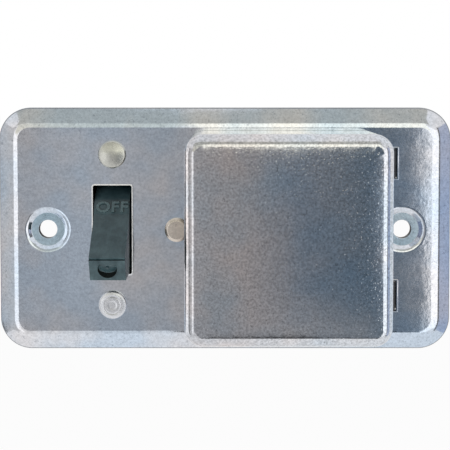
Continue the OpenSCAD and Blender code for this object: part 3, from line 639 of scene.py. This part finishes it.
steel = metal("bright_steel", (0.6, 0.61, 0.62), (0.76, 0.77, 0.78), rough=0.22)
wire = metal("spring_wire", (0.42, 0.43, 0.44), (0.58, 0.58, 0.59), rough=0.28)
brass = metal("stamped_brass", (0.6, 0.42, 0.16), (0.8, 0.6, 0.28), rough=0.26)
turned_brass = metal("turned_brass", (0.68, 0.5, 0.2), (0.86, 0.68, 0.34), rough=0.2)
for node, finish, body, slot, width in (
        ("pivot_pin", steel, "cover", "rivet_steel", 0.15),
        ("toggle_spring", wire, "toggle", "spring_wire", 0),
        ("spring_plunger", brass, "toggle", "contact_brass", 0.12),
        ("contact_rocker", brass, "rocker", "contact_brass", 0.1),
        ("rocker_pin", steel, "cover", "rivet_steel", 0.1),
        ("line_terminal", brass, "cover", "contact_brass", 0.1),
        ("load_terminal", brass, "cover", "contact_brass", 0.1),
        ("jumper_strap", brass, "cover", "contact_brass", 0.1),
        ("jumper_rivet", turned_brass, "cover", "screw_brass", 0.15),
        ("terminal_screws", turned_brass, "cover", "screw_brass", 0.12)):
    dress(refined(node, width), node + "_part", finish, body, slot, node)


# Switch rivets: zinc plated steel, pushed through plate, fibre and case. The upper head is a low dome, the
# lower one is set flat by a ring tool; both tails are spread behind the ears of the case.
rivet_z, head_r, shank_r, tail_r, tail_h, tail_d = 17.7, 3.3, 1.6, 2.6, -2.9599, 1.0
back_ease = (0, 0, 0, 0.3, 0)
dome_top, dome_r, dome_flat, dome_steps, dome_edge_h = face_h + 1.05, 10.9, 3.0, 4, face_h + 0.25
flat_top, dish_r, dish_lip_r, dish_fall = face_h + 0.9, 0.75, 1.15, 0.06
ring_in_r, ring_floor_r, ring_wall_r, ring_out_r, ring_fall, edge_fall = 1.75, 2.0, 2.15, 2.4, 0.14, 0.2


def rivet_back(tail):
    """The half section of a rivet behind the plate's face: its shank, and its tail spread at a height."""
    return [(shank_r, face_h), (shank_r, tail), (tail_r, tail), (tail_r, tail - tail_d), (0, tail - tail_d)]


dome_reach = [dome_flat * k / dome_steps for k in range(dome_steps + 1)]
dome = [(reach, dome_top - reach ** 2 / (2 * dome_r)) for reach in dome_reach]
dome += [(head_r, dome_edge_h), (head_r, face_h)]
dome_line = eased(dome + rivet_back(tail_h), (0, 0, 0, 0, 0.25, 0.2, 0) + back_ease)
rivet_zinc = zinc("rivet_zinc", (0.57, 0.57, 0.53), (0.68, 0.67, 0.62),
                  dark_specks=0.05, rough=0.26, seed=7.3)
dress(hang(turned(dome_line, (switch_x, rivet_z))), "domed_rivet", rivet_zinc, "cover", "rivet_steel",
      "upper_rivet")
flat = [(0, flat_top - 0.04), (dish_r, flat_top - dish_fall), (dish_lip_r, flat_top), (ring_in_r, flat_top),
        (ring_floor_r, flat_top - ring_fall), (ring_wall_r, flat_top - ring_fall), (ring_out_r, flat_top),
        (head_r, flat_top - edge_fall), (head_r, face_h)]
flat_line = eased(flat + rivet_back(tail_h), (0, 0.25, 0.25, 0.15, 0.06, 0.06, 0.2, 0.4, 0) + back_ease)
pale_rivet = zinc("pale_rivet", (0.62, 0.64, 0.68), (0.72, 0.73, 0.76),
                  dark_specks=0.04, rough=0.3, seed=2.8)
dress(hang(turned(flat_line, (switch_x, -rivet_z))), "flat_rivet", pale_rivet, "cover", "rivet_steel",
      "lower_rivet")


# Fuse holder: a round phenolic body behind the plate with a rolled brass screw shell, its ring terminal, and
# a brass spring contact in the floor. Three dull tinned rivets hold it; the lid covers two of their heads.
dress(refined("holder_body", 0.35), "moulded_holder", phenolic, "cover", "black_phenolic", "holder_body")
for node, finish, slot, width in (
        ("screw_shell", turned_brass, "screw_brass", 0),
        ("shell_terminal", brass, "contact_brass", 0.1),
        ("centre_contact", brass, "contact_brass", 0.1),
        ("centre_rivet", turned_brass, "screw_brass", 0.15)):
    dress(refined(node, width), node + "_part", finish, "cover", slot, node)
tan_tin = zinc("tan_rivet", (0.62, 0.55, 0.48), (0.74, 0.67, 0.6), dark_specks=0.06, rough=0.27, seed=9.1)
button_r, button_flat_r, button_h, button_flat_h, button_edge_h = 2.85, 2.2, 0.8, 0.77, 0.45
flange_back_h, leaf_t = back_h - 3.4, 0.4
button = [(0, face_h + button_h), (button_flat_r, face_h + button_flat_h),
          (button_r, face_h + button_edge_h), (button_r, face_h)]
button_ease = (0, 0.6, 0.2, 0)
holder_rivets = []
for x, z, under in ((-11.3, 0, 0), (29.4, 15.2, leaf_t), (29.4, -15.2, leaf_t)):
    section = eased(button + rivet_back(flange_back_h - under), button_ease + back_ease)
    holder_rivets.append(turned(section, (x, z), 48))
dress(hang(joined(holder_rivets)), "holder_rivet_set", tan_tin, "cover", "tan_rivet", "holder_rivets")


# Plug fuse: a glazed porcelain head on a brass screw shell, a brass rim that holds a round glass window over
# the zinc link, and a fibre washer with a tinned tip at the foot. It screws out once the lid is open.
def glaze(name, low, high):
    """Glazed porcelain: a cloudy white body under a clear coat that waves a little."""
    finish, tree, shader = new_finish(name)
    shader.inputs["Coat Weight"].default_value = 0.6
    shader.inputs["Coat Roughness"].default_value = 0.06
    shader.inputs["Roughness"].default_value = 0.3
    clouds = ramp(tree, noise(tree, 0.007, 4, seed=2.2), [(0.3, low), (0.7, high)])
    tree.links.new(clouds, shader.inputs["Base Color"])
    tree.links.new(bumps(tree, noise(tree, 0.002, 2, seed=3.1), 0.00002), shader.inputs["Normal"])
    return finish


def clear_glass(name):
    """Pressed window glass with a slight haze."""
    finish, tree, shader = new_finish(name)
    shader.inputs["Transmission Weight"].default_value = 1.0
    shader.inputs["IOR"].default_value = 1.48
    shader.inputs["Base Color"].default_value = (0.9, 0.97, 0.97, 1)
    haze = ramp(tree, noise(tree, 0.004, 3, seed=1.1), [(0.3, grey(0.02)), (0.7, grey(0.06))])
    tree.links.new(haze, shader.inputs["Roughness"])
    return finish


porcelain = glaze("glazed_porcelain", (0.62, 0.6, 0.54), (0.74, 0.72, 0.66))
window = clear_glass("window_glass")
for node, name, finish, slot, width, steps in (
        ("fuse_body", "porcelain_body", porcelain, "fuse_porcelain", 0.5, 3),
        ("fuse_rim", "brass_rim", turned_brass, "screw_brass", 0.18, 3),
        ("fuse_window", "glass_window", window, "fuse_glass", 0.2, 3),
        ("fuse_link", "zinc_link", wire, "spring_wire", 0.03, 2),
        ("fuse_shell", "fuse_screw_shell", turned_brass, "screw_brass", 0, 2),
        ("fuse_insulator", "fibre_washer", fibre, "fibre", 0.15, 2),
        ("fuse_tip", "tinned_tip", tan_tin, "tan_rivet", 0.3, 3)):
    dress(refined(node, width, steps=steps), name, finish, "plug_fuse", slot, node)


# Lid and its springs: 0.8 mm steel drawn to a square pan, with two hooked ears that pass through slots in the
# plate and swing behind it. Bronze leaf springs under the holder rivets press on the hooks.
lid_x, lid_w, lid_d, lid_t, lid_base_h, lid_top_h = 13.9, 45.7, 46.6, 0.8, 2.6401, 18.8401
lid_corner_r, lid_fillet_r, lid_crown, crown_cuts = 4.2, 2.6, 0.16, 12
notch_reach, notch_w, notch_h = 4, 7.7, 2.4
hinge_x, hook_r, lid_edge_round = 43.1, 3.4, 0.12
hook_x = hinge_x - hook_r - lid_t / 2


def hook_arc(side, turn, steps):
    """A stretch of a hook: the ear's section swept about the hinge line from the plate's face."""
    alone()
    bpy.ops.mesh.primitive_plane_add(size=1, location=(hook_x, side * ear_z, face_h))
    arc = bpy.context.object
    arc.scale = (lid_t, ear_w, 1)
    settle()
    edit(arc)
    bpy.ops.mesh.select_all(action="SELECT")
    bpy.ops.mesh.spin(steps=steps, angle=turn, center=(hinge_x, 0, face_h), axis=(0, 1, 0))
    bpy.ops.mesh.select_all(action="SELECT")
    bpy.ops.mesh.normals_make_consistent(inside=False)
    alone(arc)
    return arc


bronze = metal("spring_bronze", (0.5, 0.33, 0.14), (0.68, 0.48, 0.24), rough=0.28)
dress(refined("lid_springs", 0.08), "leaf_springs", bronze, "cover", "spring_bronze", "lid_springs")
lid = block((lid_w, lid_d, lid_top_h - lid_base_h), (lid_x, 0, (lid_top_h + lid_base_h) / 2),
            lid_corner_r, 12)
edit(lid)
pick("edges", lambda e: all(abs(v.co.z - lid_top_h) < 0.001 for v in e.verts))
bpy.ops.mesh.bevel(offset=lid_fillet_r, segments=10, affect="EDGES")
pick("faces", lambda f: f.normal.z < -0.9)
bpy.ops.mesh.delete(type="FACE")
flat_w, flat_d = lid_w / 2 - lid_fillet_r, lid_d / 2 - lid_fillet_r
for i in range(1, crown_cuts):
    for axis, middle, reach in ((0, lid_x, flat_w), (1, 0, flat_d)):
        spot = [0, 0, lid_top_h]
        spot[axis] = middle + reach * (2 * i / crown_cuts - 1)
        pick("faces", lambda f: f.normal.z > 0.999)
        bpy.ops.mesh.bisect(plane_co=spot, plane_no=[int(k == axis) for k in range(3)])
mesh = bmesh.from_edit_mesh(lid.data)
for corner in mesh.verts:
    if corner.co.z > lid_top_h - 0.001:
        swell = (1 - ((corner.co.x - lid_x) / flat_w) ** 2) * (1 - (corner.co.y / flat_d) ** 2)
        corner.co.z += lid_crown * max(0, swell)
bmesh.update_edit_mesh(lid.data)
modify(lid, "SOLIDIFY", thickness=lid_t, offset=-1, use_even_offset=True)
combine(lid, block((notch_reach, notch_w, notch_h), (lid_x - lid_w / 2, 0, lid_base_h)))
ear_x = lid_x + lid_w / 2 - lid_t
flats, hooks = [], []
for side in (-1, 1):
    flats.append(block((hook_x - ear_x, ear_w, lid_t),
                       ((ear_x + hook_x) / 2, side * ear_z, lid_base_h + lid_t / 2)))
    hooks += [hook_arc(side, radians(-15), 2), hook_arc(side, radians(135), 16)]
flats, hooks = joined(flats), joined(hooks)
for piece in (lid, flats):
    round_edges(piece, lid_edge_round, 60)
lid_coat = dict(cold=(0.6, 0.7, 0.8), warm=(0.77, 0.76, 0.78), dark_specks=0.15, rough=0.08, seed=4.6)
# Painted shade: the lid darkens toward its base, where it meets the plate.
lid_foot_painted_shade = ("Y", -0.0028, -0.0075, (0.36, 0.4, 0.4))
# Painted reflection: the lid is tinted warmer towards its left side.
warm_left_painted_reflection = ("X", -0.009, 0.016, (1.0, 0.91, 0.86))
slot_shade = ("X", 0.0405, 0.0416, grey(0.05))
zinc_lid = zinc("zinc_lid", **lid_coat, shades=(lid_foot_painted_shade, warm_left_painted_reflection), pits=0.000008)
dress(hang(flats), "hinge_ears", zinc("zinc_ear", **lid_coat), "lid", "zinc_lid")
dress(hang(lid), "drawn_lid", zinc_lid, "lid", "zinc_lid", "fuse_lid")
dress(hang(hooks), "hinge_hooks", zinc("zinc_hook", **lid_coat, shades=(slot_shade,)), "lid", "zinc_lid")


# Photo setting: a white sweep and floor well below the unit, soft lamps at a plain level, and pale, grey and
# dark cards round the camera that only the bright metal sees. The camera stands a little above the middle.
floor_z, floor_w, floor_glare = -0.32, 6, 0.96
sky_light, lamp_size = 0.22, 0.5
camera_away, camera_h, camera_dip, lens_mm, lens_shift = 0.2023, 0.0344, radians(1.975), 68.54, -0.25
white, warm_white, cream, sky_blue = (1, 1, 1), (1, 0.99, 0.88), (1, 1, 0.92), (0.87, 0.95, 1.17)


def card(name, azimuth, elevation, width, height, away, strength, colour=white):
    """A glowing card that faces the unit from a bearing in degrees and is seen only in reflections."""
    az, el = radians(azimuth), radians(elevation)
    at = Vector((sin(az) * cos(el), -cos(az) * cos(el), sin(el))) * away
    alone()
    bpy.ops.mesh.primitive_plane_add(size=1, location=at, rotation=(-at).to_track_quat("Z", "Y").to_euler())
    piece = bpy.context.object
    piece.name = name
    piece.scale = (width, height, 1)
    finish, tree, shader = new_finish(name)
    tree.nodes.remove(shader)
    glow = tree.nodes.new("ShaderNodeEmission")
    glow.inputs["Color"].default_value = (*colour, 1)
    glow.inputs["Strength"].default_value = strength
    tree.links.new(glow.outputs["Emission"], tree.nodes["Material Output"].inputs["Surface"])
    piece.data.materials.append(finish)
    for ray in ("camera", "diffuse", "shadow", "transmission", "volume_scatter"):
        setattr(piece, "visible_" + ray, False)
    return tree, glow


def seen(tree):
    """1 for what the camera sees, straight or by a mirror or glass, and 0 for what only lights the unit."""
    path = tree.nodes.new("ShaderNodeLightPath")
    mirrored = maths(tree, "MAXIMUM", path.outputs["Is Camera Ray"], path.outputs["Is Glossy Ray"])
    return maths(tree, "MAXIMUM", mirrored, path.outputs["Is Transmission Ray"])


world = bpy.context.scene.world or bpy.data.worlds.new("studio")
bpy.context.scene.world = world
world.use_nodes = True
tree = world.node_tree
tree.nodes.clear()
sky = tree.nodes.new("ShaderNodeBackground")
sky.inputs["Color"].default_value = (*white, 1)
level = tree.nodes.new("ShaderNodeMapRange")
level.inputs["To Min"].default_value = sky_light
level.inputs["To Max"].default_value = 1.0
out = tree.nodes.new("ShaderNodeOutputWorld")
tree.links.new(seen(tree), level.inputs["Value"])
tree.links.new(level.outputs["Result"], sky.inputs["Strength"])
tree.links.new(sky.outputs["Background"], out.inputs["Surface"])

alone()
bpy.ops.mesh.primitive_plane_add(size=floor_w, location=(0, 0, floor_z))
floor = bpy.context.object
floor.name = "floor"
floor_white, tree, shader = new_finish("white_floor")
shader.inputs["Base Color"].default_value = (0.92, 0.92, 0.92, 1)
shader.inputs["Roughness"].default_value = 0.8
glare = tree.nodes.new("ShaderNodeEmission")
glare.inputs["Strength"].default_value = 1.0
share = tree.nodes.new("ShaderNodeMapRange")
share.inputs["To Max"].default_value = floor_glare
mix = tree.nodes.new("ShaderNodeMixShader")
tree.links.new(seen(tree), share.inputs["Value"])
tree.links.new(share.outputs["Result"], mix.inputs["Fac"])
tree.links.new(shader.outputs["BSDF"], mix.inputs[1])
tree.links.new(glare.outputs["Emission"], mix.inputs[2])
tree.links.new(mix.outputs["Shader"], tree.nodes["Material Output"].inputs["Surface"])
floor.data.materials.append(floor_white)

# The front card is graded from side to side, and more evenly at its foot.
tree, front_glow = card("front_card", -1.94, -13.30, 0.366, 0.282, 0.5, 1.0)
tones = ((0.0, (0.38, 0.39, 0.41)), (0.22, (0.54, 0.54, 0.55)), (0.55, (0.41, 0.4, 0.4)),
         (0.7, (0.22, 0.25, 0.29)), (0.88, (0.13, 0.17, 0.21)), (1.0, (0.2, 0.24, 0.29)))
foot_tones = ((0.0, (0.43, 0.44, 0.46)), (0.6, (0.42, 0.42, 0.43)), (0.92, (0.2, 0.24, 0.28)))
across = span(tree, along(tree, "X"), 0.5, -0.5)
to_foot = span(tree, along(tree, "Y"), -0.05, -0.22)
card_tint = blend_colour(tree, "MIX", to_foot, ramp(tree, across, tones), ramp(tree, across, foot_tones))
tree.links.new(card_tint, front_glow.inputs["Color"])
card("low_white", -15.5, -26.8, 0.17, 0.11, 0.49, 0.9)
card("low_strip", 6, -24.5, 0.165, 0.035, 0.48, 0.0)
card("left_strip", -30, -8, 0.16, 0.4, 0.51, 1.36)
card("left_flag", -52, -8, 0.23, 0.5, 0.5, 0.68)
card("left_dark", -68, -8, 0.06, 0.5, 0.5, 0.08)
card("left_side", -92, -8, 0.3, 0.5, 0.5, 1.35)
card("right_strip", 33.5, -8, 0.28, 0.4, 0.515, 1.45)
card("right_flag", 65, -8, 0.265, 0.5, 0.5, 0.6, sky_blue)
card("right_dark", 53.3, -8, 0.05, 0.5, 0.49, 0.2)
card("top_strip", 11, 11.7, 0.25, 0.164, 0.5, 1.42, warm_white)
card("top_flag", 13, 33.5, 0.34, 0.24, 0.5, 0.6, cream)
card("top_left_flag", -24, 34, 0.34, 0.24, 0.52, 0.6, cream)
card("top_left_strip", -20.5, 11.7, 0.3, 0.164, 0.51, 0.88, warm_white)

for name, at, watts in (("key_lamp", (-0.45, -0.75, -0.02), 8.0), ("fill_lamp", (0.55, -0.7, -0.12), 6.0)):
    alone()
    aim = (-Vector(at)).to_track_quat("-Z", "Y").to_euler()
    bpy.ops.object.light_add(type="AREA", location=at, rotation=aim)
    lamp = bpy.context.object
    lamp.name = name
    lamp.data.energy = watts
    lamp.data.size = lamp_size
    lamp.visible_glossy = False

alone()
bpy.ops.object.camera_add(location=(0, -camera_away, camera_h), rotation=(pi / 2 - camera_dip, 0, 0))
camera = bpy.context.object
camera.data.lens = lens_mm
camera.data.shift_y = lens_shift
camera.data.clip_start = 0.01
bpy.context.scene.camera = camera
bpy.context.scene.view_settings.view_transform = "Standard"
